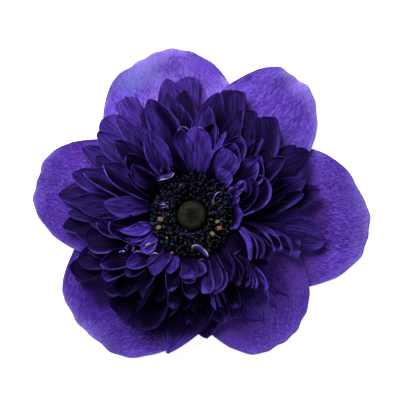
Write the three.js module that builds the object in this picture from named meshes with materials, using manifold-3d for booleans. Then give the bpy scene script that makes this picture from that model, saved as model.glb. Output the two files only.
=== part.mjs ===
// A picked anemone flower head, double and deep violet, lying face up on a surface.
// Six broad outer tepals arch down to the surface. Over them stand layers of narrow inner petals,
// and in the middle a ring of black stamens goes round a dome of pistils.
// Millimetres, +Z up. The flower's own axis is the vertical line through the dome, and the whole
// flower is moved at the end so that the middle of its outline is over the origin.
import * as THREE from "three";
import { mergeVertices } from "three/addons/utils/BufferGeometryUtils.js";
import Module from "manifold-3d";

const wasm = await Module();
wasm.setup();

// Driving dimensions
const PETAL_THICKNESS = 0.6;
const SEAT_GAP = 0.3; // left between pieces that touch on the real flower
const RECEPTACLE_RADIUS = 4.3;
const RECEPTACLE_TOP = 10.9;
const STEM_RADIUS = 2.2;
const STEM_CUT_HEIGHT = 0.8;
const LOWER_WHORL_HEIGHT = 6.6;
const WHORL_SPACING = 1.3;
const TEPAL_ROOT = RECEPTACLE_RADIUS + SEAT_GAP;
const TEPAL_DROP_START = 9; // radius where the tepals start to fall towards the surface
const TEPAL_DROP_END = 36.4; // radius where the lower whorl has come down to it
const CORE_BOTTOM = 8.6;
const CORE_INNER_TOP = RECEPTACLE_TOP - SEAT_GAP;
const CORE_WALL = { inner: 9.9, outer: 10.9, top: 12.9, bulge: 14.6 };
const PETAL_ROOT = (CORE_WALL.inner + CORE_WALL.outer) / 2;
const NEIGHBOUR_STEP = 1; // every second petal of a layer sits this much higher
const LONGEST_REACH = 35;
const SHORTEST_REACH = 13;
const DOME_RADIUS = 3.9;
const STAMEN_RING = { inner: RECEPTACLE_RADIUS + SEAT_GAP, outer: 9.4, top: 12.3 };

// Colours
const VIOLET = { color: 0x5a3bb4, roughness: 0.6, metalness: 0 };
const DARK_VIOLET = { color: 0x38207e, roughness: 0.6, metalness: 0 };
const BLACK = { color: 0x12121c, roughness: 0.45, metalness: 0 };
const OLIVE = { color: 0x3d3c30, roughness: 0.8, metalness: 0 };
const GREEN = { color: 0x6c8a45, roughness: 0.7, metalness: 0 };

// The broad outer tepals: direction in degrees from +X, reach from the axis, and width.
// Those of the upper whorl lie over the edges of those of the lower one.
const TEPALS = [
  { name: "tepal_1", direction: 102, reach: 42, width: 33.5, upper: false },
  { name: "tepal_2", direction: 52, reach: 42.8, width: 28, upper: true },
  { name: "tepal_3", direction: -3.5, reach: 44.3, width: 36.5, upper: false },
  { name: "tepal_4", direction: -54, reach: 38.6, width: 31, upper: true },
  { name: "tepal_5", direction: -130, reach: 39.3, width: 38.5, upper: false },
  { name: "tepal_6", direction: 168.5, reach: 39.8, width: 32, upper: true },
];

// The inner petals, as they show from above: where the tip is from the axis, the width, how far
// the petal sweeps round the axis from root to tip in degrees, and how much it rolls on its length.
const INNER_PETALS = [
  // The lowest layer, spread over the tepals, counter-clockwise from the right
  [33.8, -6.8, 9, 0, 0],
  [30, -0.5, 8, 0, 0],
  [32, 6.8, 9, 0, 0],
  [28.3, 9.5, 8, 0, 0],
  [29.3, 16.3, 11, 0, 0],
  [20.8, 23.8, 9, 0, 0],
  [14.3, 25.8, 6.5, 0, 0],
  [11.3, 31.3, 8, 0, 0],
  [6.3, 30.8, 6.5, 0, 0],
  [0.8, 35, 9, 0, 0],
  [-6, 34, 9, 0, 0],
  [-17, 29.3, 7, 0, 0],
  [-21.8, 25.5, 9, 0, 0],
  [-23.3, 21, 7, 0, 0],
  [-27.3, 17, 7.5, 0, 0],
  [-30, 10.3, 8, 0, 0],
  [-33.8, 5.3, 8.5, 0, 0],
  [-32.5, -2.3, 8, 0, 0],
  [-28.5, -6.5, 8, 0, 0],
  [-29.5, -12, 8, 0, 0],
  [-29.8, -16.5, 8, 0, 0],
  [-21, -24.5, 10, 0, 0],
  [-15.3, -28.8, 8.5, 0, 0],
  [-6.3, -34.5, 14, 0, 0],
  [4, -30.5, 8, 0, 0],
  [12.8, -25, 8.5, 0, 0],
  [17.5, -25.8, 8.5, 0, 0],
  [23.8, -21.8, 8.5, 0, 0],
  [27, -13.8, 9, 0, 0],
  // The middle layer
  [27.5, -9.5, 6.5, 0, 0],
  [24.5, 5.8, 6, 0, 0],
  [22.8, 14.3, 6.5, 0, 0],
  [13.3, 23.8, 6, 0, 0],
  [7.5, 26.3, 5.5, 0, 0],
  [3.8, 26.8, 6, 0, 0],
  [-9.8, 28.5, 7.5, -4, -15],
  [-16, 25.8, 5, -3, 0],
  [-18.8, 17.5, 6, 0, 0],
  [-21.8, 12.5, 7, -9, 0],
  [-25.5, 10, 5, -3, 0],
  [-27.8, 1.5, 5, 0, 0],
  [-26, -7, 8, 0, 0],
  [-22.5, -11.8, 5.5, -4, 0],
  [-22, -15.5, 5.5, 0, 0],
  [-20.5, -20, 6.5, 0, 0],
  [-13.5, -23.8, 6, 0, 0],
  [-4.3, -23.3, 5.5, 0, 0],
  [0.3, -26.8, 7, 0, 0],
  [7, -26.3, 5.5, 0, 0],
  [15.5, -19, 5, 0, 50],
  [18.8, -18.3, 4.5, 0, 55],
  [24, -7.8, 4.5, -6, 55],
  // The innermost layer, round the stamens
  [20.8, -8.8, 4.5, -8, 55],
  [15, -10.8, 4.5, -10, 55],
  [12.8, 0.3, 5, 0, 0],
  [18.8, 6.3, 7, 4, 20],
  [19, 9.8, 6.5, 4, 20],
  [10.5, 10.5, 4, 4, 0],
  [11.5, 15.8, 6, 4, 0],
  [8.8, 16.3, 5.5, 0, 0],
  [4.5, 22.5, 5, 0, 0],
  [1.5, 21.8, 5.5, 0, 0],
  [-2.3, 21.3, 4.5, 0, 0],
  [-11.3, 21, 6, -6, 0],
  [-14.8, 12.3, 5, 0, 0],
  [-22, 2.8, 6.5, -3, 0],
  [-20.3, -1.5, 6.5, -14, -15],
  [-16, -12, 5, -6, 0],
  [-12, -19.8, 4.5, 0, 0],
  [-4.3, -18.8, 4.5, 0, 0],
  [0.8, -15.5, 6, 0, 0],
  [3.8, -19.5, 6, -4, 20],
  [10, -17, 4.5, 6, 55],
];

const radians = THREE.MathUtils.degToRad;
const mix = THREE.MathUtils.lerp;

// The same sequence of draws on every run, each from -1 to 1.
function seededDraws(seed) {
  let state = seed;
  return () => {
    state = (state * 16807) % 2147483647;
    return (2 * state) / 2147483647 - 1;
  };
}

// Solids and meshes

function solidOf(geometry) {
  const bare = geometry.clone();
  bare.deleteAttribute("normal");
  bare.deleteAttribute("uv");
  const merged = mergeVertices(bare, 1e-4);
  return new wasm.Manifold(
    new wasm.Mesh({
      numProp: 3,
      vertProperties: new Float32Array(merged.attributes.position.array),
      triVerts: new Uint32Array(merged.index.array),
    }),
  );
}

function geometryOf(solid) {
  const mesh = solid.getMesh();
  const geometry = new THREE.BufferGeometry();
  geometry.setAttribute("position", new THREE.BufferAttribute(mesh.vertProperties, 3));
  geometry.setIndex(new THREE.BufferAttribute(mesh.triVerts, 1));
  geometry.computeVertexNormals();
  return geometry;
}

function fused(geometries) {
  const solids = geometries.map(solidOf);
  return geometryOf(solids.slice(1).reduce((whole, next) => whole.add(next), solids[0]));
}

function named(name, geometry, look) {
  const mesh = new THREE.Mesh(geometry, new THREE.MeshStandardMaterial(look));
  mesh.name = name;
  return mesh;
}

// A closed blade of even thickness. middle(u, s) gives its middle surface, with u from -1 to 1
// across it and s from 0 at the root to 1 at the tip. Both faces are split the same way.
// No point goes below lowest, so that a blade that meets the surface lies flat on it.
function bladeGeometry(middle, across, along, lowest = -Infinity) {
  const half = PETAL_THICKNESS / 2;
  const step = 1e-3;
  const positions = [];
  for (const side of [1, -1]) {
    for (let j = 0; j <= along; j++) {
      for (let i = 0; i <= across; i++) {
        const u = (2 * i) / across - 1;
        const s = j / along;
        const point = middle(u, s);
        const alongU = middle(u + step, s).sub(middle(u - step, s));
        const alongS = middle(u, s + step).sub(middle(u, s - step));
        const normal = alongS.cross(alongU).normalize();
        point.addScaledVector(normal, side * half);
        point.z = Math.max(point.z, side > 0 ? lowest + PETAL_THICKNESS : lowest);
        positions.push(point.x, point.y, point.z);
      }
    }
  }
  const count = (across + 1) * (along + 1);
  const at = (i, j, under) => j * (across + 1) + i + (under ? count : 0);
  const index = [];
  for (let j = 0; j < along; j++) {
    for (let i = 0; i < across; i++) {
      const corners = [[i, j], [i + 1, j], [i + 1, j + 1], [i, j + 1]];
      const [a, b, c, d] = corners.map(([x, y]) => at(x, y, false));
      const [e, f, g, h] = corners.map(([x, y]) => at(x, y, true));
      const leansLeft = i < across / 2;
      if (leansLeft) index.push(a, d, b, b, d, c, e, f, h, f, g, h);
      else index.push(a, c, b, a, d, c, e, f, g, e, g, h);
    }
  }
  const rim = [];
  for (let i = 0; i < across; i++) rim.push([i, 0]);
  for (let j = 0; j < along; j++) rim.push([across, j]);
  for (let i = across; i > 0; i--) rim.push([i, along]);
  for (let j = along; j > 0; j--) rim.push([0, j]);
  rim.forEach(([i, j], k) => {
    const [nextI, nextJ] = rim[(k + 1) % rim.length];
    const [a, b] = [at(i, j, false), at(nextI, nextJ, false)];
    const [c, d] = [at(i, j, true), at(nextI, nextJ, true)];
    index.push(a, b, c, b, d, c);
  });
  const geometry = new THREE.BufferGeometry();
  geometry.setAttribute("position", new THREE.Float32BufferAttribute(positions, 3));
  geometry.setIndex(index);
  return geometry;
}

// Outer tepals

// Height of the lower whorl's middle surface at a radius: level near the axis, then an arch down.
function tepalHeight(radius) {
  const t = THREE.MathUtils.clamp(
    (radius - TEPAL_DROP_START) / (TEPAL_DROP_END - TEPAL_DROP_START),
    0,
    1,
  );
  const lying = PETAL_THICKNESS / 2 - 0.25;
  return lying + (LOWER_WHORL_HEIGHT - lying) * (1 - t ** 1.8) ** 1.3;
}

// A tepal with a narrow root, a broad rounded end and a faint ripple towards its sides.
function tepalGeometry({ direction, reach, width, upper }) {
  const widestAt = 0.62;
  const rootShare = 0.3;
  const tipRounding = 0.16;
  const ripple = upper ? 0.5 : 0.35;
  const middle = (u, s) => {
    const edge = reach * (1 - tipRounding * Math.abs(u) ** 2.6);
    const forward = TEPAL_ROOT + (edge - TEPAL_ROOT) * s;
    const share =
      s < widestAt
        ? mix(rootShare, 1, Math.sin((Math.PI / 2) * Math.max(0, s / widestAt)))
        : 1 - 0.24 * ((s - widestAt) / (1 - widestAt)) ** 2;
    const sideways = (u * width * share) / 2;
    const height =
      tepalHeight(Math.hypot(forward, sideways)) +
      (upper ? WHORL_SPACING : 0) +
      ripple * s ** 3 * u * u * (1 + Math.sin(10 * u + direction));
    return new THREE.Vector3(forward, sideways, height);
  };
  return bladeGeometry(middle, 8, 9, 0).rotateZ(radians(direction));
}

// Inner petals

// How a petal stands: the further it reaches, the lower it starts and the flatter it lies.
function petalStance(reach) {
  const inward = THREE.MathUtils.clamp(
    (LONGEST_REACH - reach) / (LONGEST_REACH - SHORTEST_REACH),
    0,
    1,
  );
  const slope = mix(-9, 61, inward);
  const curl = mix(24, 50, inward);
  return {
    rootHeight: mix(9.4, 11.2, inward),
    startSlope: radians(slope + curl / 2),
    curl: radians(-curl),
    cup: mix(0.12, 0.3, inward),
  };
}

// A petal that springs from the ring and bends down along its length, with its sides cupped up.
function petalGeometry([tipX, tipY, width, sweep, roll], order) {
  const reach = Math.hypot(tipX, tipY);
  const { rootHeight, startSlope, curl, cup } = petalStance(reach);
  const length =
    ((reach - PETAL_ROOT) * curl) / (Math.sin(startSlope + curl) - Math.sin(startSlope));
  const tipDirection = Math.atan2(tipY, tipX);
  const widestAt = 0.6;
  const rootShare = 0.26;
  const middle = (u, s) => {
    const stop = s * (1 - 0.1 * u * u);
    const slope = startSlope + curl * stop;
    const radius = PETAL_ROOT + (length * (Math.sin(slope) - Math.sin(startSlope))) / curl;
    const height =
      rootHeight +
      (order % 2) * NEIGHBOUR_STEP -
      (length * (Math.cos(slope) - Math.cos(startSlope))) / curl;
    const direction = tipDirection - radians(sweep) * (1 - stop);
    const share =
      s < widestAt
        ? mix(rootShare, 1, Math.sin((Math.PI / 2) * Math.max(0, s / widestAt)))
        : 1 - 0.58 * ((s - widestAt) / (1 - widestAt)) ** 2;
    const outwards = new THREE.Vector3(Math.cos(direction), Math.sin(direction), 0);
    const forward = outwards.clone().multiplyScalar(Math.cos(slope)).setZ(Math.sin(slope));
    const sideways = new THREE.Vector3(-outwards.y, outwards.x, 0);
    sideways.applyAxisAngle(forward, radians(roll) * stop);
    const upwards = forward.clone().cross(sideways);
    const halfWidth = (width * share) / 2;
    return outwards
      .multiplyScalar(radius)
      .setZ(height)
      .addScaledVector(sideways, u * halfWidth)
      .addScaledVector(upwards, cup * halfWidth * u * u * Math.min(1, 2 * s));
  };
  return bladeGeometry(middle, 2, 5);
}

// The ring that the inner petals grow from, a low cup round the receptacle.
function petalRing() {
  const inner = RECEPTACLE_RADIUS + SEAT_GAP;
  const profile = [
    [inner, CORE_BOTTOM],
    [CORE_WALL.outer, CORE_BOTTOM],
    [CORE_WALL.bulge, 10],
    [CORE_WALL.bulge - 0.7, 12],
    [CORE_WALL.outer, CORE_WALL.top],
    [CORE_WALL.inner, CORE_WALL.top],
    [CORE_WALL.inner, CORE_INNER_TOP],
    [inner, CORE_INNER_TOP],
    [inner, CORE_BOTTOM],
  ];
  return turned(profile, 24);
}

// A lathe about +Z, from a profile of [radius, height] points.
function turned(profile, segments) {
  const points = profile.map(([radius, height]) => new THREE.Vector2(radius, height));
  return new THREE.LatheGeometry(points, segments).rotateX(Math.PI / 2);
}

// Stamens

// A stamen with its root at the ring's top: a short filament that widens into the anther.
function stamenGeometry() {
  const profile = [
    [0, -1.1],
    [0.5, 0.5],
    [0.68, 1.4],
    [0, 2.4],
  ];
  return turned(profile, 4);
}

// The ring of crowded stamens, in rows round the dome that lean outwards a little.
function stamenRing() {
  const draw = seededDraws(20);
  const { inner, outer, top } = STAMEN_RING;
  const base = [
    [inner, RECEPTACLE_TOP],
    [outer, RECEPTACLE_TOP],
    [outer, top - 0.5],
    [outer - 1, top],
    [inner, top],
    [inner, RECEPTACLE_TOP],
  ];
  const parts = [turned(base, 32)];
  const rows = [
    { radius: 5.5, count: 16, lean: 4 },
    { radius: 6.8, count: 20, lean: 8 },
    { radius: 8.1, count: 24, lean: 12 },
    { radius: 8.9, count: 14, lean: 2 },
  ];
  for (const [row, { radius, count, lean }] of rows.entries()) {
    for (let k = 0; k < count; k++) {
      const direction = ((k + 0.5 * (row % 2) + 0.2 * draw()) / count) * 2 * Math.PI;
      const stamen = stamenGeometry();
      stamen.rotateZ(direction * 3);
      stamen.rotateX(radians(6 * draw()));
      stamen.rotateY(radians(lean + 4 * draw()));
      stamen.translate(radius, 0, top - (radius > outer - 1 ? 0.4 : 0) + 0.25 * draw());
      parts.push(stamen.rotateZ(direction));
    }
  }
  return fused(parts);
}

// Pistils

// The dome, with its crowded pistils as raised points between the lathe's rings and sectors.
function pistilDome() {
  const bottom = RECEPTACLE_TOP + SEAT_GAP;
  const sectors = 26;
  const relief = 0.14;
  const profile = [
    [0, bottom],
    [3.2, bottom],
    [3.7, bottom + 0.7],
    [DOME_RADIUS, bottom + 1.5],
    [3.8, bottom + 2.3],
    [3.4, bottom + 3.1],
    [2.8, bottom + 3.7],
    [2, bottom + 4.2],
    [1.1, bottom + 4.5],
    [0, bottom + 4.6],
  ];
  const dome = turned(profile, sectors);
  const place = dome.attributes.position;
  const rings = profile.length;
  for (let k = 0; k < place.count; k++) {
    const ring = k % rings;
    const sector = Math.floor(k / rings) % sectors;
    if (ring < 3 || ring > rings - 2) continue;
    const raised = 1 + ((ring + sector) % 2 ? relief : 0) / DOME_RADIUS;
    place.setX(k, place.getX(k) * raised);
    place.setY(k, place.getY(k) * raised);
  }
  return dome;
}

// Receptacle and the stem's stub

function receptacle() {
  const profile = [
    [0, STEM_CUT_HEIGHT],
    [STEM_RADIUS, STEM_CUT_HEIGHT],
    [STEM_RADIUS + 0.1, 3.4],
    [STEM_RADIUS + 0.8, 4.9],
    [RECEPTACLE_RADIUS, 5.9],
    [RECEPTACLE_RADIUS, RECEPTACLE_TOP],
    [0, RECEPTACLE_TOP],
  ];
  return turned(profile, 28);
}

const flower = new THREE.Group();
flower.add(named("receptacle", receptacle(), GREEN));
for (const tepal of TEPALS) flower.add(named(tepal.name, tepalGeometry(tepal), VIOLET));
const petals = [petalRing(), ...INNER_PETALS.map(petalGeometry)];
flower.add(named("inner_petals", fused(petals), DARK_VIOLET));
flower.add(named("stamens", stamenRing(), BLACK));
flower.add(named("pistil_dome", pistilDome(), OLIVE));

const outline = new THREE.Box3().setFromObject(flower, true);
const centre = outline.getCenter(new THREE.Vector3());
flower.position.set(-centre.x, -centre.y, -outline.min.z);

const model = new THREE.Group();
model.add(flower);
export default model;
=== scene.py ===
"""A double anemone flower head, deep violet, lying face up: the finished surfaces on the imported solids."""

import math

import bpy
import numpy as np
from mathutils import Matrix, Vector


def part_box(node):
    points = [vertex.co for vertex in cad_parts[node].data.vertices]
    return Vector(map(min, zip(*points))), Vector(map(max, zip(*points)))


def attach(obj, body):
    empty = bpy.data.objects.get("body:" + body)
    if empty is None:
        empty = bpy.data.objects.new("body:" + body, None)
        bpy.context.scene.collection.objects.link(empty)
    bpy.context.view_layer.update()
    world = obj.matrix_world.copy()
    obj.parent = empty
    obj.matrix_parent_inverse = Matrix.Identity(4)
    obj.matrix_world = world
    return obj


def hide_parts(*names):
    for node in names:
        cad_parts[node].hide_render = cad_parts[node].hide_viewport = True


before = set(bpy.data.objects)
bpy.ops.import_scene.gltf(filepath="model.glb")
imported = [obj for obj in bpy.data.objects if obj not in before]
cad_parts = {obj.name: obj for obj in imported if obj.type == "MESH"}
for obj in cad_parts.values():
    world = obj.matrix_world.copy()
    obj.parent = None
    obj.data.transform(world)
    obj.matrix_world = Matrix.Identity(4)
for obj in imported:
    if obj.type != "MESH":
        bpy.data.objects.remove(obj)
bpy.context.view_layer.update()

MM = 0.001

# The light comes from the upper left, so the rims that are turned up on the other side catch it, and there
# they are given a painted highlight too
TURNED_UP = np.array([0.55, -0.83, 0])
rng = np.random.default_rng(11)

# The flower's own axis goes through the pistil dome, a little off the middle of the outline
dome_low, dome_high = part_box("pistil_dome")
AXIS = np.array([(dome_low.x + dome_high.x) / 2, (dome_low.y + dome_high.y) / 2, 0]) / MM

# Dimensions repeated from the part, in millimetres, as all are that no comment calls otherwise
TEPAL_ROOT = 4.6
LOWER_WHORL_HEIGHT = 6.6
WHORL_SPACING = 1.3
TEPAL_DROP_START = 9
TEPAL_DROP_END = 36.4
PETAL_ROOT = 10.4
PETAL_TOP = 19.8
STEM_RADIUS = 2.2
STEM_CUT_HEIGHT = 0.8
RECEPTACLE_RADIUS = 4.3
RECEPTACLE_TOP = 10.9
DOME_BOTTOM = 11.2
DOME_RADIUS = 3.9

# Outer tepals: direction, reach, width, upper whorl, tone (which holds painted light and shade
# too), how strong the painted highlight on the margin is, how bright the part near the petals is
# under its painted shade (above one, painted light against the shadow of the petals), and how far
# the outline swells, in millimetres every 10 degrees from 50 degrees clockwise of the direction to
# 50 anticlockwise
TEPALS = [
    ("tepal_1", 102, 42, 33.5, False, 0.85, 1.3, 0.9,
     (0, 0, 1, 1, 0.7, 0.1, -0.5, 1.5, 1.6, 2, 1)),
    ("tepal_2", 52, 42.8, 28, True, 0.7, 1.06, 0.85,
     (0, 0, 1, 1.4, 1.1, 0.7, 1.4, 0.8, 0.5, 0, 0)),
    ("tepal_3", -3.5, 44.3, 36.5, False, 0.48, 0.6, 1.9,
     (0, 0, -1.5, 0, 0.4, 0.9, -0.3, 0.8, 1.5, 1, 0)),
    ("tepal_4", -54, 38.6, 31, True, 0.77, 0.15, 1.3,
     (0, 0, -1.7, 0.4, 1.3, 0.9, 0.9, 1.3, 0.8, 0, 0)),
    ("tepal_5", -130, 39.3, 38.5, False, 0.34, 0.5, 0.6,
     (-3, -3, -1.3, 1, 0.5, 0.5, 1.4, 1.1, 0.6, 0.5, 0)),
    ("tepal_6", 168.5, 39.8, 32, True, 0.42, 0.35, 0.75,
     (-2, -2.6, -2.4, -0.1, 0.5, 0.3, 0.7, -0.2, -1.6, 0, 0)),
]
# Marks on the tepals, the darker ones painted shade (mostly the shadows of petals and of creases)
# and the paler ones painted light: x, y, radius, and in percent how much darker (negative for
# paler) and how much pinker (negative for bluer)
TEPAL_SHADE_LIGHT_AND_TINT = [
    (-15.5, 34.8, 5, 40, -100), (-11, 37, 4, 5, -45), (-11.5, 33, 1.6, 35, 20), (-6.2, 38, 3, 35, 0),
    (-4, 35, 3.2, 30, 20), (-10, 29, 3.5, 0, 70), (0.6, 34.6, 1.3, 45, 30), (3, 38.5, 3, -80, 0),
    (1.9, 33.2, 1.2, 50, 40), (2.8, 31.4, 1.1, 55, 60), (3.3, 29.4, 1.1, 55, 80),
    (1.9, 29, 1.2, 0, 100), (7, 36, 4.5, -25, 20), (10.5, 33, 4, -30, 10), (-19.6, 29.8, 4, -60, 10),
    (24.5, 33.5, 1.6, 25, -50), (24.4, 28, 1.2, 25, 0), (23.2, 24.5, 1.2, 30, 10),
    (27, 23.5, 1.4, 25, 10), (25.4, 21, 1.4, 30, 20), (29.5, 1, 5, -30, 70), (30.5, 4.5, 4, -80, 30),
    (27, -13.5, 4.5, -70, 10), (33, -3.5, 2, 20, 50), (31, -8.5, 4, 0, 40), (36.5, -2.8, 1.8, -40, -30),
    (39.5, 6.3, 3.5, 20, -20), (30.4, 10.6, 3, -120, 0), (41.5, 1.5, 3.5, 20, -20),
    (34.5, -14, 4, -80, 10), (30, -10.4, 2.2, -90, 0), (20.5, -12.2, 2.4, 75, 0),
    (27.8, -13, 3.5, -100, 20), (24, -13.6, 3, 50, 20), (18, -15, 5, 40, 70), (23.2, -18, 3, 60, 20),
    (27, -18, 3, -30, 10), (12.5, -27, 2.5, 35, 80), (20, -28, 5, -10, 10), (24.5, -26.8, 3.5, 20, 0),
    (19, -30, 3.5, 25, 0), (8.5, -30.5, 4, -90, 20), (17, -24, 3, -40, -60), (-23, -20.7, 4.5, 85, 35),
    (-21.5, -21.2, 3, 80, 0), (-26, -18, 3, 50, 30), (-15.5, -31, 3.5, -20, 10),
    (-10.5, -32.5, 3.5, -25, 10), (-20.5, -29.5, 4.5, 22, -10), (-31.5, -6, 3.5, 20, 40),
    (-34, 1, 3, 25, 30), (-29, 15.5, 3.5, 20, 80), (-36, 13, 3.5, 15, 10),
]

# Inner petals: tip x, tip y, width, lift in percent (0 lies on the tepals, 100 stands round the
# stamens), sweep from root to tip in degrees, cup in hundredths of a radian (negative arches
# upwards), tip (0 round, 1 blunt point, 2 squared, 3 sharp, 4 cut off, 5 smooth and round), tone in
# percent (0 dark, 100 pale, and it holds painted light and shade too), and where a petal needs it its
# roll and its curl (positive down) in degrees, in percent how dark the painted shade in its trough
# is, how strong the painted highlight on its rim is (negative on the upper left side) and how far up
# the painted shade of its root reaches, and the point its middle line bends by
OUTER_PETALS = [
    # Right
    (33.2, -6.5, 8.5, 2, 0, -30, 0, 38, 0, 12, 30, 10),
    (30, -1, 4, 3, 0, -30, 3, 60, 0, 0, 10, 10),
    (32, 6.3, 7, 5, 3, 30, 1, 14),
    (28, 8.6, 6, 14, 3, 40, 1, 26),
    (29.6, 15.6, 9, 6, 0, 20, 1, 10, 0, 0, 30, 20),
    (25.6, 17.6, 8, 2, 20, 25, 1, 10, 0, 0, 30, 20),
    # Upper right
    (17.4, 24.4, 8, 14, 30, 20, 4, 9),
    (19, 21.4, 6.5, 8, 28, 30, 4, 5),
    (13.4, 26.3, 5.5, 10, 20, 30, 4, 5),
    (10.5, 31.2, 6.6, 5, 14, 30, 4, 12),
    (6.5, 30.6, 7.5, 10, 2, -30, 1, 11),
    # Top
    (-1.4, 34.7, 7.4, 0, 0, -30, 2, 34, 0, 0, 30, 5),
    (-2.2, 31, 7.4, 12, 0, 30, 1, 5),
    (-6.2, 34.2, 9, 5, 2, -40, 1, 30),
    (-6.5, 30.4, 7.5, 14, 2, -40, 1, 16),
    (-12, 26.8, 6, 8, 3, 40, 1, 12),
    # Upper left
    (-17, 29.3, 6, 4, 3, -50, 4, 42, 0, 0, 40, 30),
    (-22.4, 24.2, 9, 3, 2, -30, 0, 33),
    (-18.6, 24.6, 6, 10, 3, 40, 1, 32),
    (-23.6, 20.6, 6.5, 10, 3, 50, 1, 32),
    (-27.3, 17, 6, 6, 3, 50, 1, 25),
    (-24, 14.5, 6, 12, 3, 50, 1, 10),
    # Left
    (-30, 10.4, 6.5, 5, 3, 50, 1, 20),
    (-33.6, 5.2, 7.5, 2, 2, -30, 1, 12),
    (-30.2, 3, 5.5, 12, 2, 80, 1, 15, 10),
    (-31, 0.4, 5.5, 10, 0, 70, 1, 13, 10),
    (-32.5, -2.8, 7, 3, -2, 40, 1, 7),
    (-29, -4.5, 6, 10, -2, 50, 1, 5),
    # Lower left
    (-28.4, -11.2, 7, 8, -4, 60, 0, 5, 5),
    (-30, -14.8, 6.5, 2, -4, 30, 2, 4),
    (-26, -9, 6, 14, -3, 50, 1, 3),
    (-22, -18.8, 6.5, 10, -4, 40, 2, 3),
    (-18.8, -24.8, 7.5, 4, -2, 25, 2, 2),
    (-13.8, -28.3, 8.5, 6, -2, 50, 0, 3, 0, 0, 90, 15, 70),
    (-8, -26, 8, 10, 0, 30, 1, 1),
    # Bottom
    (-6.3, -34.9, 23, 0, 0, 10, 3, 66, 0, 0, 30, 10, 74),
    (4, -30.9, 9, 3, 0, 20, 1, 10),
    (-1.5, -27, 7, 8, 0, 30, 1, 6),
    (3.4, -27, 6, 12, 0, 40, 1, 4),
    (7.4, -27, 6, 8, 0, 40, 0, 15),
    (12, -26, 7, 6, 2, 40, 1, 36),
    # Lower right
    (17.3, -26.4, 6, 0, 3, 30, 1, 90, 0, 0, 10, 0),
    (16, -22, 6, 10, 0, 40, 1, 15),
    (21.2, -22.8, 4.5, 0, 3, 40, 3, 80, 0, 0, 40, 15),
    (24.4, -20.4, 4.5, 0, 3, 30, 3, 80, 0, 0, 30, 10),
]
MIDDLE_PETALS = [
    # Right
    (27, -8.8, 5, 8, -6, 30, 2, 12),
    (27.6, 5.6, 5, 22, 10, 70, 1, 12, 40),
    (23.5, 3.5, 5, 20, 6, 60, 1, 25, 30),
    (23.5, 7.6, 4.5, 32, 12, 70, 1, 12, 50),
    (22.8, 14.2, 4.5, 42, 12, 100, 0, 14, 0, -20),
    (21, 11, 5, 34, 8, 80, 1, 4),
    # Upper right
    (19.4, 16, 5, 36, 12, 90, 0, 6, 0, -20),
    (17.2, 19, 3, 42, 14, 80, 0, 20, 20),
    (15.4, 18.6, 3, 44, 14, 80, 0, 18, -20),
    (13.8, 21.4, 5, 34, 10, 60, 0, 6),
    (11, 23.6, 5, 34, 6, 70, 0, 13),
    (7.6, 25.6, 5, 30, 4, 70, 1, 2),
    # Top
    (4, 26.8, 6.5, 34, 2, 80, 1, 27, 0, 0, 70, 60),
    (-1.8, 25.8, 4.5, 30, 2, 70, 1, 14, 20),
    (-10.6, 28.6, 7.9, 36, 15, 70, 1, 28, -14, 0, 90, 100),
    (-5, 24.5, 4.5, 14, 2, 70, 1, 20, -20),
    (-12.4, 25, 4, 28, 2, 70, 3, 6),
    # Upper left
    (-14.4, 22, 5, 30, 2, 70, 1, 25, -10),
    (-18.8, 18.4, 5.5, 34, 0, 80, 1, 12, -10, 0, 80, 60, 50),
    (-16.2, 14.6, 5, 50, 0, 110, 0, 5, -10, -20, 90, 60, 50),
    (-22, 12.3, 6.5, 48, -6, 90, 1, 20, 14, -12, 100, 160),
    (-27, 10.2, 6, 26, -2, 90, 1, 22, 10, -10, 100, 80),
    # Left
    (-27.4, 1.2, 4.5, 28, 0, 80, 1, 18, 10),
    (-25.4, -1.8, 5, 34, -4, 80, 1, 11, 10),
    (-26.2, -6.4, 7.5, 28, -6, 80, 5, 6, 10, 0, 90, 55, 60),
    # Lower left
    (-22.6, -12, 4.8, 40, -8, 120, 5, 42, 14, -30, 80, 90, 74, (-16, -12.4)),
    (-22, -15.4, 4, 34, -8, 90, 2, 18, 8, -20, 80, 70, 65),
    (-19, -9, 5, 40, -6, 80, 1, 3),
    (-18.5, -19.4, 5, 24, -4, 70, 2, 1, 10),
    (-16, -20, 3.5, 34, -2, 70, 3, 13, 60),
    (-13.5, -24, 4, 26, -2, 70, 3, 3, 60),
    (-12, -20.2, 3.5, 42, 0, 100, 0, 3, 50, -30, 95, 50, 70),
    (-8.6, -21.5, 5.5, 28, 0, 50, 1, 1),
    # Bottom
    (-4.8, -23.2, 3.8, 34, 3, 100, 5, 0, 10, -20, 90, -30, 50),
    (0.5, -24.4, 4, 30, 0, 100, 3, 2),
    (-1.8, -23.6, 4.5, 26, 0, 80, 1, 1),
    (6.1, -23.3, 3.2, 42, -3, 60, 3, 90, 65),
    (7.5, -22.6, 3.2, 42, -3, 60, 3, 50, 65),
    (8.6, -21.8, 3, 42, -3, 60, 3, 60, 65),
    (9.8, -22.4, 4, 34, -3, 70, 3, 8, 60),
    (11.4, -23, 4.5, 26, -2, 90, 0, 2, 10, -20, 90, 30, 60),
    # Lower right
    (13.4, -17.8, 0.85, 42, -12, 50, 3, 90, 40, 0, 10, 90, 50, (16.8, -13.6)),
    (15.8, -18.3, 0.85, 42, -9, 50, 3, 90, 40, 0, 10, 90, 50, (18.3, -14.6)),
    (14.8, -18.1, 0.75, 40, -10, 50, 3, 80, 40, 0, 10, 80, 50, (17.7, -14.3)),
    (18.3, -18.6, 0.85, 40, -7, 50, 3, 90, 40, 0, 10, 90, 50, (18.4, -13.6)),
    (18.7, -22, 0.8, 34, -9, 50, 3, 50, 30, 0, 10, 50, 50, (19, -14.6)),
    (16.5, -14.5, 5, 34, -6, 60, 1, 1, 30),
    (19, -12.2, 4.5, 30, -8, 70, 1, 3, 30),
    (24, -4.5, 4, 16, -6, 60, 1, 40, 50),
]
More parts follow.
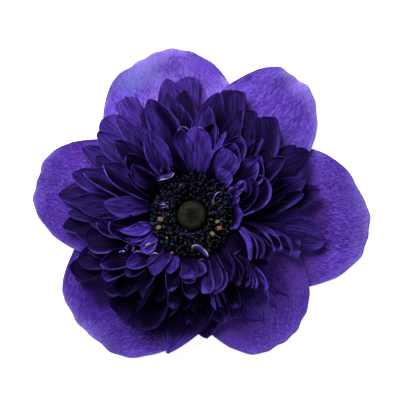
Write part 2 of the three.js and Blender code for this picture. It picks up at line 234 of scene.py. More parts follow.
INNER_PETALS = [
    # Lower right
    (22, -8.6, 0.75, 42, -15, 50, 3, 70, 40, 10, 20, 90, 45, (22.6, -2.6)),
    (18.6, -9.4, 0.65, 50, -16, 50, 3, 60, 40, 10, 20, 90, 35, (18.4, -4.4)),
    (20.2, -9, 0.8, 48, -16, 50, 3, 80, 40, 10, 20, 90, 45, (20.4, -3.4)),
    (16.5, -10.8, 1.2, 58, -25, 60, 5, 30, 60, 10, 50, 80, 30, (19.4, -5.4)),
    (24.4, -10, 0.8, 30, -16, 50, 3, 40, 40, 0, 20, 60, 40, (25.2, -3)),
    (18, -11, 3.5, 50, -16, 80, 0, 2, 50, 10, 90, 30, 40, (20, -5)),
    (14.4, -11.2, 2.2, 70, -28, 70, 5, 70, 50, 0, 60, 90, 0, (15.4, -5)),
    (15.7, -10.8, 0.8, 62, -27, 70, 5, 40, 60, 0, 20, 80, 0, (17.4, -5)),
    (12, -8.8, 5, 72, -8, 60, 0, 0, 20, 0, 100, 20),
    (13.4, -12, 6, 52, -8, 80, 0, 0, 25, 0, 100, 0),
    (9.2, -16.3, 1.1, 62, -7, 60, 5, 8, 55, 0, 30, 40, 10, (12.3, -11.2)),
    (11.8, -16.5, 1, 60, -6, 60, 5, 5, 55, 0, 30, 30, 10, (14.4, -11.2)),
    (13.2, -15.4, 1, 58, -6, 60, 5, 5, 55, 0, 30, 35, 10, (15.4, -10.8)),
    (12, -17.2, 3.6, 44, -4, 100, 0, 3, 30, -30, 100, 35, 80),
    # Right
    (12.5, -0.4, 7, 98, 0, 70, 0, 42, 8),
    (19.8, 6.8, 3.5, 50, 18, 60, 3, 20, 66),
    (13.2, 8.2, 2.6, 86, 6, 60, 0, 80, 30, 0, 20, 90, 10),
    (10.8, 7, 2.2, 95, 10, 70, 0, 60, -20, 0, 20, 80, 10),
    (11.6, 5, 2.2, 94, 8, 70, 0, 70, 30, 0, 20, 80, 10),
    (13.7, 9, 3, 62, 33, 100, 5, 20, 0, 0, 90, 40, 50, (17.4, 5.6)),
    (14.8, 9.6, 5.2, 56, 34, 110, 5, 40, -8, 0, 100, 80, 50, (19.6, 4.2)),
    # Upper right
    (16.2, 13, 6, 66, 6, 90, 5, 62, 0, -20, 50, 90, 72),
    (17.2, 14.4, 7, 56, 6, 100, 0, 25, 0, -30, 95, 90),
    (9.3, 10.7, 4.8, 98, 0, 30, 5, 54, 0, 0, 20, 90),
    (8.8, 16.2, 7.6, 80, 2, -20, 5, 43, 0, 0, 20, 80),
    (10.4, 17.8, 6.8, 66, 2, 120, 5, 40, 10, -20, 95, 90),
    (12, 19.4, 6, 56, 4, 110, 5, 35, 10, -20, 95, 60),
    (8.4, 20.5, 1.3, 88, -6, 60, 5, 80, 0, 0, 0, 80, -10, (4.6, 15)),
    # Top
    (5.6, 22.6, 5, 36, 4, 110, 0, 3, 0, -30, 100, 60, 50),
    (1.5, 21.8, 6.3, 72, 7, -20, 0, 46, 0, 0, 10, 50, -10),
    (-2.6, 21.2, 3.8, 62, 4, 90, 5, 40, 0, -50, 40, 60, 0),
    (-4.6, 18.5, 4.5, 50, 2, 70, 1, 6, -20),
    (-7.6, 17, 4, 50, 2, 70, 1, 5, -40),
    (-10.9, 20.8, 6.2, 56, -7, 60, 1, 42, 8, 0, 50, -130, 20),
    # Upper left
    (-14.8, 12.2, 4.5, 70, -4, 90, 1, 20, 10, 0, 90, -140, 40),
    (-16, 10.2, 4.5, 58, -2, 80, 1, 12, 10, 0, 70, 40),
    # Left
    (-21.6, 2.8, 5.4, 58, 0, 50, 1, 34, 0, 0, 20, 50),
    (-23.4, -1.6, 3.4, 46, -24, 100, 5, 20, 10, -20, 80, 80, 30, (-18, -5)),
    (-20.2, -1.4, 6.6, 56, -20, 120, 5, 12, 8, -20, 90, 100, 50, (-17.6, -5.6)),
    (-16.4, -5.8, 1.8, 66, -5, 60, 3, 70, 20, 0, 20, 80, 0, (-13, -6.4)),
    (-18.4, -3.5, 3.4, 66, -5, 60, 3, 80, 10, 0, 10, 70, 0, (-14, -4.4)),
    (-15, -6.8, 4, 60, -10, 80, 1, 40, 20),
    # Lower left
    (-12.4, -8.7, 3.4, 84, 1, 40, 2, 80, 10, 0, 10, 60, -20),
    (-16.2, -12.2, 4.2, 62, -8, 110, 5, 55, 14, -20, 50, 90, 60, (-11.5, -12.2)),
    (-16.2, -15, 3.8, 50, -6, 90, 5, 16, 10, -20, 90, 45, 80),
    (-9.4, -14.9, 4.8, 74, 7, 30, 1, 24, 10, 0, 20, 35, 25),
    (-5.6, -14.4, 4, 82, 4, 30, 1, 30, 10, 0, 20, 35, 10),
    # Bottom
    (-5.2, -18.8, 3.6, 56, 8, 100, 5, 2, 10, -20, 90, -55, 30),
    (-0.3, -15.6, 6.4, 84, 0, 50, 2, 20),
    (-0.8, -17, 4.2, 70, 0, 70, 5, 4, 0, 0, 80, 35),
    (-0.3, -20.6, 4.4, 52, 0, 110, 5, 2, 0, -20, 90, -35, 60),
    (4.2, -19.2, 3.6, 62, -8, 50, 2, 36, 20, 0, 20, 40, 42),
    (5.4, -18.4, 4.8, 66, -10, 50, 5, 12, 10, 0, 30, 35, 45),
    (5.4, -19.3, 1.8, 64, -18, 80, 5, 35, 50, 0, 30, 90, 50, (11, -15.6)),
]


def mix(a, b, t):
    return a + (b - a) * t


def ease(low, high, x):
    t = np.clip((x - low) / (high - low), 0, 1)
    return t * t * (3 - 2 * t)


def linked(data):
    """A new object in the scene, named as its data."""
    piece = bpy.data.objects.new(data.name, data)
    bpy.context.scene.collection.objects.link(piece)
    return piece


# Mesh building


class Builder:
    """Collects grids of points into one mesh, with a UV and some named values per point."""

    def __init__(self):
        self.points, self.faces, self.uv, self.flat, self.count = [], [], [], [], 0
        self.values = {key: [] for key in ("seed", "tone", "under", "shade", "lip", "warm")}

    def add(self, points, faces, uv, **values):
        """Adds points with their faces. A value that isn't given is a half."""
        n = len(points)
        self.points.append(points)
        self.faces.append(faces + self.count)
        self.uv.append(uv)
        for key, kept in self.values.items():
            kept.append(np.broadcast_to(values.get(key, 0.5), n).astype(np.float32))
        self.count += n

    def blade(
        self, middle, half_thickness, across, along, seed, tone, shade=1.0, lip=0.0, warm=0.5, lowest=None,
        crisp=False,
    ):
        """A closed blade round a grid of its middle surface, middle[row, column].

        The rows stand at the values of along, from 0 to 1, and the columns at those of across, from
        -1 to 1. No point comes under the lowest height, and a crisp blade has a sharp rim.
        """
        rows, columns = middle.shape[:2]
        normal = np.cross(np.gradient(middle, axis=0), np.gradient(middle, axis=1))
        length = np.linalg.norm(normal, axis=2, keepdims=True)
        normal = normal / np.maximum(length, 1e-9)
        top = middle + normal * half_thickness[..., None]
        bottom = middle - normal * half_thickness[..., None]
        if lowest is not None:
            bottom[..., 2] = np.maximum(bottom[..., 2], lowest)
            top[..., 2] = np.maximum(top[..., 2], bottom[..., 2] + half_thickness)
        index = np.arange(rows * columns).reshape(rows, columns)
        a, b = index[:-1, :-1].ravel(), index[:-1, 1:].ravel()
        c, d = index[1:, 1:].ravel(), index[1:, :-1].ravel()
        n = rows * columns
        upper = np.stack([a, d, c, b], 1)
        lower = np.stack([a, b, c, d], 1) + n
        rim = np.concatenate([index[0, :], index[1:, -1], index[-1, -2::-1], index[-2:0:-1, 0]])
        after = np.roll(rim, -1)
        side = np.stack([rim, after, after + n, rim + n], 1)
        across, along = np.meshgrid((across + 1) / 2, along)
        uv = np.stack([across.ravel(), along.ravel()], 1)
        under = np.concatenate([np.zeros(n), np.ones(n)])
        shade, lip, warm = (
            np.tile(np.broadcast_to(value, (rows, columns)).ravel(), 2) for value in (shade, lip, warm)
        )
        points = np.concatenate([top.reshape(-1, 3), bottom.reshape(-1, 3)])
        faces, uv = np.concatenate([upper, lower, side]), np.concatenate([uv, uv])
        if crisp:
            before = sum(len(f) for f in self.faces)
            self.flat.append(before + np.arange(len(faces) - len(side), len(faces)))
        self.add(points, faces, uv, seed=seed, tone=tone, under=under, shade=shade, lip=lip, warm=warm)

    def lathed(self, shape, uv=None, **values):
        """Adds a shape from turned_points."""
        points, sides, caps = shape
        first = self.count
        self.add(points, sides, np.zeros((len(points), 2)) if uv is None else uv, **values)
        self.faces.append(caps + first)

    def build(self, name, material):
        points = (np.concatenate(self.points) + AXIS) * MM
        mesh = bpy.data.meshes.new(name)
        loops = np.concatenate([f.ravel() for f in self.faces])
        sizes = np.concatenate([np.full(len(f), f.shape[1]) for f in self.faces])
        starts = np.concatenate([[0], np.cumsum(sizes)[:-1]])
        mesh.vertices.add(len(points))
        mesh.vertices.foreach_set("co", points.astype(np.float32).ravel())
        mesh.loops.add(len(loops))
        mesh.loops.foreach_set("vertex_index", loops.astype(np.int32))
        mesh.polygons.add(len(sizes))
        mesh.polygons.foreach_set("loop_start", starts.astype(np.int32))
        smooth = np.full(len(sizes), True)
        for faces in self.flat:
            smooth[faces] = False
        mesh.polygons.foreach_set("use_smooth", smooth)
        mesh.update(calc_edges=True)
        uv = mesh.uv_layers.new(name="along")
        uv.data.foreach_set("uv", np.concatenate(self.uv)[loops].astype(np.float32).ravel())
        for key, values in self.values.items():
            attribute = mesh.attributes.new(key, "FLOAT", "POINT")
            attribute.data.foreach_set("value", np.concatenate(values))
        mesh.validate()
        mesh.materials.append(material)
        return linked(mesh)


def dress(mesh, name, look, node):
    piece = mesh.build(name, look)
    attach(piece, "root")
    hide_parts(node)


# Materials


class Nodes:
    """Short calls to lay out a material's nodes."""

    def __init__(self, name):
        self.material = bpy.data.materials.new(name)
        self.material.use_nodes = True
        self.tree = self.material.node_tree
        self.shader = next(n for n in self.tree.nodes if n.type == "BSDF_PRINCIPLED")

    def new(self, kind, **settings):
        node = self.tree.nodes.new("ShaderNode" + kind)
        for key, value in settings.items():
            setattr(node, key, value)
        return node

    def feed(self, socket, value):
        if isinstance(value, bpy.types.NodeSocket):
            self.tree.links.new(value, socket)
        else:
            socket.default_value = value

    def feed_named(self, node, **values):
        for key, value in values.items():
            self.feed(node.inputs[key.replace("_", " ")], value)

    def set(self, **values):
        self.feed_named(self.shader, **values)

    def fed(self, kind, *values, **settings):
        """The first output of a new node whose inputs are fed in their order."""
        node = self.new(kind, **settings)
        for socket, value in zip(node.inputs, values):
            self.feed(socket, value)
        return node.outputs[0]

    def math(self, operation, a, b=0.0, c=0.0, clamp=False):
        return self.fed("Math", a, b, c, operation=operation, use_clamp=clamp)

    def times(self, a, b, clamp=False):
        return self.math("MULTIPLY", a, b, clamp=clamp)

    def push(self, level, value, contrast, clamp=False):
        """The level, moved up or down by how far a value is from a half."""
        return self.math("MULTIPLY_ADD", self.math("SUBTRACT", value, 0.5), contrast, level, clamp)

    def mix(self, factor, a, b, blend="MIX"):
        node = self.new("Mix", data_type="RGBA", blend_type=blend)
        self.feed(node.inputs[0], factor)
        for socket, value in ((node.inputs[6], a), (node.inputs[7], b)):
            self.feed(socket, value if isinstance(value, bpy.types.NodeSocket) else (*value, 1))
        return node.outputs[2]

    def ramp(self, value, low, high, to_low=0.0, to_high=1.0):
        limits = (low, high, to_low, to_high)
        return self.fed("MapRange", value, *limits, interpolation_type="SMOOTHSTEP")

    def attribute(self, name):
        return self.new("Attribute", attribute_name=name).outputs["Fac"]

    def noise(self, vector, scale, detail=2.0, roughness=0.5):
        node = self.new("TexNoise")
        self.feed_named(node, Vector=vector, Scale=scale, Detail=detail, Roughness=roughness)
        return node.outputs["Fac"]

    def vector(self, x, y, z):
        return self.fed("CombineXYZ", x, y, z)

    def surface(self, colour, grain, smoothest, roughest):
        """Feeds the colour, and a roughness that follows the grain."""
        self.set(Base_Color=colour, Roughness=self.ramp(grain, 0.2, 0.8, smoothest, roughest))

    def bump(self, height, strength, distance):
        node = self.new("Bump")
        self.feed_named(node, Strength=strength, Distance=distance, Height=height)
        self.set(Normal=node.outputs[0])


# What all petals share: how far apart their noise lies, the colour of a root in the shade, the
# one that a bluer part tends to and the one that a pinker part is multiplied by
SEED_SHIFT = 37.0
SHADED_ROOT = (0.003, 0.001, 0.012)
BLUER = (0.120, 0.170, 0.540)
PINKER = (1.25, 0.72, 0.95)
# In metres: how deep light goes into the tissue, its relief and that of a speckle
LIGHT_DEPTH = 0.5 * MM
TISSUE_RELIEF = 0.5 * MM
SPECKLE_RELIEF = 0.2 * MM


def petal_material(
    name, dark, light, rim, veins, ribs, grain, vein_contrast, broad_contrast, mottle_contrast, glint_fleck,
    specular, bump,
):
    """Veined petal tissue: the values of each point say how pale it is, its painted shade, and where its rim
    is pale with a painted highlight.
    """
    n = Nodes(name)
    parts = n.new("SeparateXYZ")
    n.feed(parts.inputs[0], n.fed("UVMap", uv_map="along"))
    across, along, _ = parts.outputs
    shift = n.times(n.attribute("seed"), SEED_SHIFT)

    def drawn_out(start, waves_across, waves_along, detail=2.0, coarse=0.5, depth=shift):
        """Noise with so many waves across the petal and along it."""
        place = n.vector(n.times(start, waves_across), n.times(along, waves_along), depth)
        return n.noise(place, 1.0, detail, coarse)

    # Veins run from the root to the tip and wander a little on the way
    drift = drawn_out(across, 2.0, 3.0)
    bent = n.math("MULTIPLY_ADD", drift, 0.08, across)
    fine = drawn_out(bent, veins, grain, 3.0, 0.6)
    broad = drawn_out(bent, ribs, 2.5)
    mottle = drawn_out(across, 9.0, 9.0, 5.0, 0.7)
    # The tone picks the place between the dark and the pale colour, and the veins push it both ways
    level = n.push(1.0, broad, broad_contrast)
    level = n.push(level, n.ramp(fine, 0.36, 0.64), vein_contrast)
    level = n.push(level, mottle, mottle_contrast)
    shade = n.attribute("shade")
    level = n.times(n.times(level, n.attribute("tone")), shade, clamp=True)
    body = n.mix(level, dark, light)
    body = n.mix(n.ramp(shade, 0.45, 0.0, 0.0, 0.75), body, SHADED_ROOT)
    # Fine pale flecks along the fibres are painted glints
    body = n.mix(n.times(n.ramp(fine, 0.5, 0.7, 0.0, glint_fleck), level), body, rim)
    # Some parts are bluer and some pinker
    warm = n.attribute("warm")
    body = n.mix(n.ramp(warm, 0.5, 0.0, 0.0, 0.5), body, BLUER)
    body = n.mix(n.ramp(warm, 0.5, 1.0, 0.0, 0.8), body, PINKER, "MULTIPLY")
    # The rims get a painted highlight in stretches, and the underside is a little paler
    patches = drawn_out(across, 3.0, 5.0, depth=n.math("ADD", shift, 5.0))
    edge = n.times(n.attribute("lip"), n.ramp(patches, 0.36, 0.6, 0.15, 1.15), clamp=True)
    body = n.mix(n.times(edge, n.ramp(fine, 0.3, 0.7, 0.6, 1.2), clamp=True), body, rim)
    body = n.mix(n.times(n.attribute("under"), 0.06), body, rim)
    n.surface(body, mottle, smoothest=0.44, roughest=0.58)
    n.set(Specular_IOR_Level=specular, Specular_Tint=(0.55, 0.40, 1.0, 1))
    n.set(Subsurface_Weight=0.12, Subsurface_Radius=(0.5, 0.3, 1.0), Subsurface_Scale=LIGHT_DEPTH)
    n.bump(n.math("MULTIPLY_ADD", fine, 1.0, n.times(mottle, 0.5)), bump, TISSUE_RELIEF)
    return n.material


tepal_look = petal_material(
    "tepal_tissue", dark=(0.025, 0.005, 0.142), light=(0.113, 0.049, 0.462), rim=(0.27, 0.19, 0.64),
    veins=140, ribs=14, grain=36, vein_contrast=1.3, broad_contrast=1.0, mottle_contrast=1.0,
    glint_fleck=0.35, specular=0.15, bump=0.8,
)
petal_look = petal_material(
    "petal_tissue", dark=(0.0014, 0.0005, 0.006), light=(0.088, 0.038, 0.4), rim=(0.125, 0.068, 0.5),
    veins=16, ribs=4, grain=4.5, vein_contrast=1.1, broad_contrast=1.2, mottle_contrast=0.7,
    glint_fleck=0.25, specular=0.035, bump=0.5,
)


def speckled_material(
    name, colours, scale, roughness, specular, speckle=None, tint=(1, 1, 1), other=None, bump=0.5
):
    """Finely speckled tissue from the first colour to the last, a few members in another.

    The tone picks the place between the colours, or without a speckle fine patches do.
    """
    n = Nodes(name)
    speck = n.noise(n.new("TexCoord").outputs["Object"], scale, 4.0, 0.6)
    if speckle is None:
        level = n.ramp(speck, 0.35, 0.65)
    else:
        level = n.push(n.attribute("tone"), speck, speckle, clamp=True)
    if len(colours) == 3:
        body = n.mix(n.ramp(level, 0.0, 0.5), colours[0], colours[1])
        body = n.mix(n.ramp(level, 0.4, 1.0), body, colours[2])
    else:
        body = n.mix(level, *colours)
    if other:
        chosen = n.ramp(n.attribute("seed"), 0.84, 0.97)
        body = n.mix(n.times(chosen, level, clamp=True), body, other)
    n.surface(body, speck, roughness - 0.08, roughness + 0.08)
    n.bump(speck, bump, SPECKLE_RELIEF)
    n.set(Specular_IOR_Level=specular, Specular_Tint=(*tint, 1))
    return n.material


anther_look = speckled_material(
    "anther_black", colours=((0.0006, 0.0006, 0.0018), (0.0058, 0.0058, 0.0185)), scale=2500,
    roughness=0.28, specular=0.17, speckle=1.5, tint=(0.75, 0.85, 1.0), other=(0.022, 0.021, 0.01),
)
filament_look = speckled_material(
    "filament_black", colours=((0.0006, 0.0006, 0.0015), (0.0012, 0.0011, 0.003)), scale=1500,
    roughness=0.8, specular=0.02, bump=0.4,
)
pollen_look = speckled_material(
    "open_anther", colours=((0.12, 0.118, 0.048), (0.165, 0.07, 0.036)), scale=3000,
    roughness=0.85, specular=0.1, speckle=1.2,
)
pistil_look = speckled_material(
    "pistil_olive", colours=((0.005, 0.005, 0.008), (0.08, 0.072, 0.043)), scale=2200,
    roughness=0.8, specular=0.05, speckle=1.1,
)
curled_look = speckled_material(
    "curled_stamen", colours=((0.006, 0.003, 0.03), (0.085, 0.052, 0.31), (0.4, 0.35, 0.56)),
    scale=3000, roughness=0.6, specular=0.1, speckle=0.5,
)
stem_look = speckled_material(
    "stem_green", colours=((0.16, 0.26, 0.06), (0.24, 0.33, 0.10)), scale=400, roughness=0.6,
    specular=0.5, bump=0.4,
)


# Outer tepals

TEPAL_WIDEST = 0.62  # of the way from root to margin
TEPAL_LYING = 0.2  # height at which the lower whorl comes to lie
TEPAL_LOWEST = 0.02
SWELL_ANGLES = np.arange(-50, 51, 10)


def tepal_height(radius):
    t = np.clip((radius - TEPAL_DROP_START) / (TEPAL_DROP_END - TEPAL_DROP_START), 0, 1)
    return TEPAL_LYING + (LOWER_WHORL_HEIGHT - TEPAL_LYING) * (1 - t**1.8) ** 1.3


def tepal_surface(along, across, direction, reach, width, upper, swell, seed):
    """The middle surface of a tepal, folded and rippled towards its margin."""
    edge = reach * (1 - 0.16 * np.abs(across) ** 2.6)
    edge = edge + 0.2 * np.sin(across * 7 + seed * 20) + 0.15 * np.sin(across * 17 + seed * 50)
    forward = TEPAL_ROOT + (edge - TEPAL_ROOT) * along
    growing = mix(0.3, 1, np.sin(np.pi / 2 * np.clip(along / TEPAL_WIDEST, 0, 1)))
    closing = 1 - 0.24 * (np.clip(along - TEPAL_WIDEST, 0, 1) / (1 - TEPAL_WIDEST)) ** 2
    sideways = across * width * np.where(along < TEPAL_WIDEST, growing, closing) / 2
    away = np.hypot(forward, sideways)
    turned = np.degrees(np.arctan2(sideways, forward))
    grown = np.interp(turned, SWELL_ANGLES, swell) * ease(0.4, 0.9, away / reach)
    grown = 1 + grown / away
    forward, sideways, away = forward * grown, sideways * grown, away * grown
    fold = ease(0.35, 1, along)
    side = ease(0.75, 1, np.abs(across))
    height = tepal_height(away) + (WHORL_SPACING if upper else 0)
    height = height + 0.22 * fold * (1 + np.sin(across * 9 + seed * 30 + 2 * along))
    height = height + 0.5 * ease(0.8, 1, along) * (1 + np.sin(across * 6 + seed * 10)) / 2
    height = height + 0.2 * side * fold * (1 + np.sin(along * 16 + seed * 40)) / 2
    c, s = math.cos(math.radians(direction)), math.sin(math.radians(direction))
    return np.stack([forward * c - sideways * s, forward * s + sideways * c, height], -1)


def tepal_values(along, across, middle, pale, shade_near_petals):
    """The painted shade and light, the painted highlight on the margin and the warmth of each point of a
    tepal.
    """
    shade = mix(shade_near_petals, 1, ease(0.45, 0.82, along))
    warm = 0.5 + 0.12 * (1 - ease(0.5, 0.8, along))
    calm = np.ones_like(along)
    for x, y, radius, darker, pinker in TEPAL_SHADE_LIGHT_AND_TINT:
        darker, pinker = darker / 100, pinker / 100
        here = np.exp(-((middle[..., 0] - x) ** 2 + (middle[..., 1] - y) ** 2) / radius**2)
        shade = shade * (1 - darker * here)
        calm = calm * (1 - max(darker, 0) * here)
        warm = warm + 0.5 * pinker * here
    out = np.abs(across)
    lip = 0.55 * ease(0.86, 1, along) + 0.4 * ease(0.8, 1, out) * ease(0.5, 0.8, along)
    lip = lip * pale + 0.35 * ease(0.96, 1, np.maximum(along, out))
    # The tepals with the strongest painted highlight carry it well inside their margin too
    lip = (lip + 1.2 * max(pale - 1, 0) * ease(0.4, 0.75, along)) * calm
    return shade, lip, np.clip(warm, 0, 1)


def tepal(name, direction, reach, width, upper, tone, pale, shade_near_petals, swell):
    rows, columns = np.linspace(0, 1, 64), np.linspace(-1, 1, 57)
    along, across = np.meshgrid(rows, columns, indexing="ij")
    seed = rng.uniform()
    middle = tepal_surface(along, across, direction, reach, width, upper, swell, seed)
    half_thickness = mix(0.16, 0.06, ease(0.7, 1, np.maximum(np.abs(across), along)))
    values = tepal_values(along, across, middle, pale, shade_near_petals)
    mesh = Builder()
    mesh.blade(middle, half_thickness, columns, rows, seed, tone, *values, TEPAL_LOWEST, crisp=True)
    dress(mesh, name + "_skin", tepal_look, name)


for row in TEPALS:
    tepal(*row)


# Inner petals

# The rows of a petal's grid lie closer together towards its tip. A formula in ROWS and COLUMNS
# gives a value for each point of the grid
EVEN = np.linspace(0, 1, 34)
ALONG = np.sin(EVEN * np.pi / 2) ** 0.9 * 0.4 + EVEN * 0.6
ROWS = ALONG[:, None]
COLUMNS = np.linspace(-1, 1, 19)[None, :]
# Of a lying and of a standing petal: slopes in degrees, and the height of the root
ROOT_SLOPES = (5, 88)
TIP_SLOPES = (-25, 35)
ROOT_HEIGHTS = (8.6, 12.4)
WIDE_SWEEP = 18  # degrees, from which a petal sweeps evenly all the way
ON_EDGE = 45  # degrees of roll, from which a petal stands on edge
CUP_GAIN = 1.2
CUP_LIMIT = 1.3
ROOT_SHARE = 0.28  # of the full width
TIP_SHARE = 0.03
# Tips as numbered above: where the petal is widest, how late it narrows and how bluntly
TIPS = [
    (0.66, 2.4, 0.5), (0.64, 1.8, 0.68), (0.8, 4, 0.4), (0.42, 1.5, 1), (0.86, 6, 0.3), (0.7, 2.8, 0.5),
]
SMOOTH_TIP = 5


def summed(values):
    """The running sum of a value along the petal, by the trapezoid rule."""
    return np.concatenate([[0], np.cumsum(np.diff(ALONG) * (values[1:] + values[:-1]) / 2)])


def petal_frame(tip_x, tip_y, lift, sweep, curl, by):
    """A petal's middle line from root to tip, and its directions forwards, sideways and upwards."""
    start = math.radians(mix(*ROOT_SLOPES, lift**0.85))
    end = math.radians(mix(*TIP_SLOPES, lift))
    slope = start + (end - start) * ALONG**0.7 - math.radians(curl) * ease(0.55, 1, ALONG)
    run = summed(np.cos(slope))
    length = (math.hypot(tip_x, tip_y) - PETAL_ROOT) / run[-1]
    swept = (1 - ALONG) ** (1.3 if abs(sweep) < WIDE_SWEEP else 1.0)
    angle = math.atan2(tip_y, tip_x) - math.radians(sweep) * swept
    line = np.stack([np.cos(angle), np.sin(angle), 0 * ALONG], 1) * (PETAL_ROOT + length * run)[:, None]
    if by is not None:
        # The middle line bends towards a point beside the straight way from root to tip
        gone = (run / run[-1])[:, None]
        corner = np.array([*by, 0.0])
        line = (1 - gone) ** 2 * line[0] + 2 * gone * (1 - gone) * corner + gone**2 * line[-1]
        length = np.linalg.norm(np.diff(line, axis=0), axis=1).sum() / run[-1]
        heading = np.gradient(line, ALONG, axis=0)
        angle = np.arctan2(heading[:, 1], heading[:, 0])
    line[:, 2] = mix(*ROOT_HEIGHTS, ease(0, 0.7, lift)) + length * summed(np.sin(slope))
    forward = np.gradient(line, ALONG, axis=0)
    forward /= np.linalg.norm(forward, axis=1, keepdims=True)
    sideways = np.stack([-np.sin(angle), np.cos(angle), 0 * ALONG], 1)
    sideways -= forward * np.sum(sideways * forward, 1, keepdims=True)
    sideways /= np.linalg.norm(sideways, axis=1, keepdims=True)
    return line, forward, sideways, np.cross(forward, sideways)


def petal_share(tip):
    """How much of its full width a petal has at each point along it."""
    widest, power, round_off = TIPS[tip]
    widest += rng.uniform(-0.04, 0.04)
    closing = np.clip((ALONG - widest) / (1 - widest), 0, 1)
    share = np.where(
        ALONG < widest,
        mix(ROOT_SHARE, 1, np.sin(np.pi / 2 * np.clip(ALONG / widest, 0, 1)) ** 1.2),
        (1 - closing**power) ** round_off,
    )
    return np.maximum(share, TIP_SHARE)


def petal_rims(facing, ahead, width, smooth, tone, rim):
    """How far a petal's rims are turned up, and how strong the painted highlight on its margin is.

    Facing and ahead say how far its left side and its tip lie towards where rims turn up.
    """
    run_in = ease(0.15, 0.55, ROWS) if rim is None else ease(0.0, 0.35, ROWS)
    strength = mix(0.4, 1, min(tone / 0.3, 1)) if rim is None else mix(0.3, 1, rim)
    turned_up, lip = 0.0, 0.0
    for sign in (-1, 1):
        amount = ease(-0.2, 0.55, sign * facing)
        height = mix(0.0, 0.9, amount) * rng.uniform(0.6, 1.2) * min(width / 6, 1) * (1 - 0.7 * smooth)
        turned_up = turned_up + height * strength * ease(0.5, 1, sign * COLUMNS) ** 1.6 * run_in
        lip = lip + amount * ease(mix(0.74, 0.58, tone), 0.95, sign * COLUMNS) * run_in
    at_tip = ease(0.86, 0.98, ROWS) * np.ones_like(COLUMNS)
    lip = np.maximum(lip, ease(-0.1, 0.8, ahead) * at_tip)
    highlight_strength = rng.uniform(0.35, 1.0) * mix(0.12, 0.9, tone**0.7)
    return turned_up, lip * (highlight_strength if rim is None else rim * 0.8)


def petal_shade(facing, azimuth, lift, tone, trough_shade, dark):
    """Painted shade, darker towards the root (partly the root's own darker colour) and in a trough beside
    the turned-up rim.
    """
    trough_end = 0.72 if trough_shade is None else 0.85
    trough = np.exp(-(((COLUMNS - 0.3 * np.sign(facing)) / 0.42) ** 2))
    trough = trough * (1 - ease(trough_end, 0.99, ROWS))
    depth = mix(0.35, 0.85, ease(0, 0.3, lift)) * rng.uniform(0.75, 1.0) * mix(1.1, 0.5, tone)
    depth = depth if trough_shade is None else trough_shade
    # Petals on the left are lit right down to the stamens
    left = max(0.0, -math.cos(azimuth + 0.1)) ** 2
    dark_to = mix(0.42, 0.0, tone) + rng.uniform(-0.1, 0.1) - 0.25 * left
    lit_from = dark_to + 0.62
    root = mix(0.03, 0.4, tone)
    if dark is not None:
        dark_to, lit_from, root, left = dark - 0.1, dark + 0.3, root * 0.3, 0.0
    lit = ease(dark_to, lit_from, ROWS)
    return (1 - depth * trough) * mix(root + 0.25 * left, 1, lit)


def petal(
    mesh, tip_x, tip_y, width, lift, sweep, cup, tip, tone, roll=0, curl=0, trough_shade=None, rim=None,
    dark=None, by=None,
):
    lift, cup, tone = lift / 100, cup / 100, tone / 100
    trough_shade, rim, dark = (v if v is None else v / 100 for v in (trough_shade, rim, dark))
    seed = rng.uniform()
    roll = roll + rng.normal(0, 5)
    sweep = sweep + rng.normal(0, 1.5)
    bow = rng.normal(0, 0.35)
    smooth = tip == SMOOTH_TIP
    frill = rng.uniform(0.15, 0.65) * (1 - 0.9 * smooth)
    line, forward, sideways, upwards = petal_frame(tip_x, tip_y, lift, sweep, curl, by)
    line = line + sideways * (bow * np.sin(2 * np.pi * ROWS))
    turn = np.radians(roll) * ease(0, 0.5, ROWS)
    side = sideways * np.cos(turn) + upwards * np.sin(turn)
    up = upwards * np.cos(turn) - sideways * np.sin(turn)

    # Across, the petal is an arc of a circle, with its rims turned up and a few flutes and waves
    share = petal_share(tip)[:, None]
    cup = cup * CUP_GAIN
    half = width / 2 * share * cup / math.sin(np.clip(cup, -CUP_LIMIT, CUP_LIMIT))
    offset = half * np.sin(cup * COLUMNS) / cup
    raised = half * (1 - np.cos(cup * COLUMNS)) / cup
    # The rim on the lower right of a petal is turned up most, and gets the palest painted highlight
    facing = float(sideways[ALONG.size // 2] @ TURNED_UP)
    if rim is not None and rim < 0:
        facing, rim = -facing, -rim
    turned_up, lip = petal_rims(facing, float(forward[-1] @ TURNED_UP), width, smooth, tone, rim)
    shade = petal_shade(facing, math.atan2(tip_y, tip_x), lift, tone, trough_shade, dark)
    # Petals standing on edge get painted shade towards their tips, and less of the painted rim highlight
    if abs(roll) > ON_EDGE:
        tip_shade = 1 - 0.6 * ease(0.7, 1, ROWS)
        shade, lip = shade * tip_shade, lip * tip_shade
    flute = 0.07 * np.cos(COLUMNS * 8 + seed * 6) * np.sin(np.pi * ROWS)
    flute = flute + 0.12 * np.sin(ROWS * 9 + seed * 30) * (1 - COLUMNS**2)
    phase = 14 * ROWS + 40 * seed + 2 * np.sign(COLUMNS)
    wave = frill * COLUMNS**2 * np.sin(phase) * ease(0.3, 0.9, ROWS)
    raised = raised + turned_up + flute + wave
    middle = line[:, None, :] + side[:, None, :] * offset[..., None] + up[:, None, :] * raised[..., None]

    # No petal stands higher than the solids do
    root = line[0, 2]
    tallest = middle[..., 2].max()
    if tallest > PETAL_TOP:
        middle[..., 2] = root + (middle[..., 2] - root) * (PETAL_TOP - root) / (tallest - root)
    # The tip line is a little uneven
    notch = np.abs((COLUMNS * 1.7 + seed * 9) % 1 - 0.5) - 0.25
    ragged = 0.5 * np.sin(COLUMNS * 5 + seed * 20) + 0.2 * np.sin(COLUMNS * 13 + seed * 60) + 1.6 * notch
    pull = ragged * ease(0.8, 1, ROWS) * share * (1 - 0.8 * smooth)
    middle = middle + forward[:, None, :] * pull[..., None]
    half_thickness = mix(0.14, 0.035, np.maximum(np.abs(COLUMNS) ** 2, ease(0.7, 1, ROWS)))
    mesh.blade(middle, half_thickness, COLUMNS[0], ALONG, seed, tone, shade, lip)


